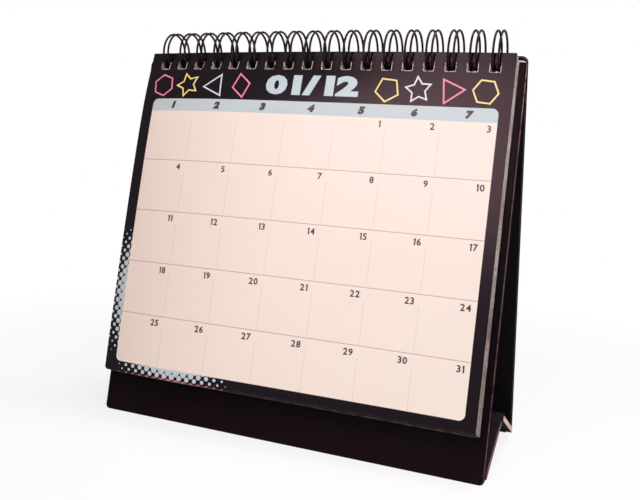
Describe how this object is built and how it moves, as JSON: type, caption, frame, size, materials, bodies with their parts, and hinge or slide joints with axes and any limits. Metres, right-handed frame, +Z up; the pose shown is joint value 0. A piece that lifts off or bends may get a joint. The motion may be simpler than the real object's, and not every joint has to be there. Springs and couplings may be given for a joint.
{
  "type": "desk calendar",
  "caption": "Wire-bound desk calendar: printed month leaves turn over a twin-loop wire at the top of a black tent stand that folds flat.",
  "frame": {"origin": "on the desk, under the middle of the object's bounding box", "axes": "+X to the right along the binding as the month side is read, +Y to the back, +Z up"},
  "size_m": [0.166, 0.0678, 0.1648],
  "materials": {
    "leaf_paper": "satin printed card, dark border and pale panel",
    "black_wrap": "gloss laminated black paper",
    "black_lining": "satin black paper",
    "greyboard": "solid greyboard",
    "binding_wire": "black nylon-coated steel wire"
  },
  "bodies": {
    "front_board": {"front_board_core": "greyboard", "front_board_wrap": "black_wrap", "front_board_lining": "black_lining", "front_foot_crease": "black_wrap", "wire_binding": "binding_wire"},
    "rear_board": {"rear_board_core": "greyboard", "rear_board_wrap": "black_wrap", "rear_board_lining": "black_lining", "rear_foot_crease": "black_wrap"},
    "base_front": {"base_front_core": "greyboard", "base_front_wrap": "black_wrap", "base_front_lining": "black_lining", "base_fold_crease": "black_lining"},
    "base_rear": {"base_rear_core": "greyboard", "base_rear_wrap": "black_wrap", "base_rear_lining": "black_lining"},
    "leaf_01": {"month_leaf_01": "leaf_paper"},
    "leaf_02": {"month_leaf_02": "leaf_paper"},
    "leaf_03": {"month_leaf_03": "leaf_paper"},
    "leaf_04": {"month_leaf_04": "leaf_paper"},
    "leaf_05": {"month_leaf_05": "leaf_paper"},
    "leaf_06": {"month_leaf_06": "leaf_paper"},
    "leaf_07": {"month_leaf_07": "leaf_paper"},
    "leaf_08": {"month_leaf_08": "leaf_paper"},
    "leaf_09": {"month_leaf_09": "leaf_paper"},
    "leaf_10": {"month_leaf_10": "leaf_paper"},
    "leaf_11": {"month_leaf_11": "leaf_paper"},
    "leaf_12": {"month_leaf_12": "leaf_paper"}
  },
  "joints": [
    {"name": "stand_fold", "type": "hinge", "parent": "front_board", "child": "rear_board", "pos_m": [0, 0.00129, 0.1559], "axis": [1, 0, 0], "range_deg": [-16.4, 0]},
    {"name": "base_front_fold", "type": "hinge", "parent": "front_board", "child": "base_front", "pos_m": [0, -0.02631, 0.0003], "axis": [1, 0, 0], "range_deg": [0, 50.4]},
    {"name": "base_rear_fold", "type": "hinge", "parent": "rear_board", "child": "base_rear", "pos_m": [0, 0.02889, 0.0003], "axis": [1, 0, 0], "range_deg": [-50.4, 0]},
    {"name": "leaf_01_turn", "type": "hinge", "parent": "front_board", "child": "leaf_01", "pos_m": [0, 0.00129, 0.1559], "axis": [-1, 0, 0], "range_deg": [0, 215]},
    {"name": "leaf_02_turn", "type": "hinge", "parent": "front_board", "child": "leaf_02", "pos_m": [0, 0.00129, 0.1559], "axis": [-1, 0, 0], "range_deg": [0, 197.9]},
    {"name": "leaf_03_turn", "type": "hinge", "parent": "front_board", "child": "leaf_03", "pos_m": [0, 0.00129, 0.1559], "axis": [-1, 0, 0], "range_deg": [0, 180.7]},
    {"name": "leaf_04_turn", "type": "hinge", "parent": "front_board", "child": "leaf_04", "pos_m": [0, 0.00129, 0.1559], "axis": [-1, 0, 0], "range_deg": [0, 163.5]},
    {"name": "leaf_05_turn", "type": "hinge", "parent": "front_board", "child": "leaf_05", "pos_m": [0, 0.00129, 0.1559], "axis": [-1, 0, 0], "range_deg": [0, 146.3]},
    {"name": "leaf_06_turn", "type": "hinge", "parent": "front_board", "child": "leaf_06", "pos_m": [0, 0.00129, 0.1559], "axis": [-1, 0, 0], "range_deg": [0, 129.1]},
    {"name": "leaf_07_turn", "type": "hinge", "parent": "front_board", "child": "leaf_07", "pos_m": [0, 0.00129, 0.1559], "axis": [-1, 0, 0], "range_deg": [0, 111.9]},
    {"name": "leaf_08_turn", "type": "hinge", "parent": "front_board", "child": "leaf_08", "pos_m": [0, 0.00129, 0.1559], "axis": [-1, 0, 0], "range_deg": [0, 94.7]},
    {"name": "leaf_09_turn", "type": "hinge", "parent": "front_board", "child": "leaf_09", "pos_m": [0, 0.00129, 0.1559], "axis": [-1, 0, 0], "range_deg": [0, 77.5]},
    {"name": "leaf_10_turn", "type": "hinge", "parent": "front_board", "child": "leaf_10", "pos_m": [0, 0.00129, 0.1559], "axis": [-1, 0, 0], "range_deg": [0, 60.3]},
    {"name": "leaf_11_turn", "type": "hinge", "parent": "front_board", "child": "leaf_11", "pos_m": [0, 0.00129, 0.1559], "axis": [-1, 0, 0], "range_deg": [0, 43.1]},
    {"name": "leaf_12_turn", "type": "hinge", "parent": "front_board", "child": "leaf_12", "pos_m": [0, 0.00129, 0.1559], "axis": [-1, 0, 0], "range_deg": [0, 25.9]}
  ],
  "couplings": [
    {"joint": "base_front_fold", "follows": "stand_fold", "ratio": -3.0714},
    {"joint": "base_rear_fold", "follows": "stand_fold", "ratio": 3.0714},
    {"joint": "leaf_02_turn", "follows": "leaf_01_turn", "ratio": 0.92},
    {"joint": "leaf_03_turn", "follows": "leaf_01_turn", "ratio": 0.84},
    {"joint": "leaf_04_turn", "follows": "leaf_01_turn", "ratio": 0.76},
    {"joint": "leaf_05_turn", "follows": "leaf_01_turn", "ratio": 0.68},
    {"joint": "leaf_06_turn", "follows": "leaf_01_turn", "ratio": 0.6},
    {"joint": "leaf_07_turn", "follows": "leaf_01_turn", "ratio": 0.52},
    {"joint": "leaf_08_turn", "follows": "leaf_01_turn", "ratio": 0.44},
    {"joint": "leaf_09_turn", "follows": "leaf_01_turn", "ratio": 0.36},
    {"joint": "leaf_10_turn", "follows": "leaf_01_turn", "ratio": 0.28},
    {"joint": "leaf_11_turn", "follows": "leaf_01_turn", "ratio": 0.2},
    {"joint": "leaf_12_turn", "follows": "leaf_01_turn", "ratio": 0.12}
  ]
}
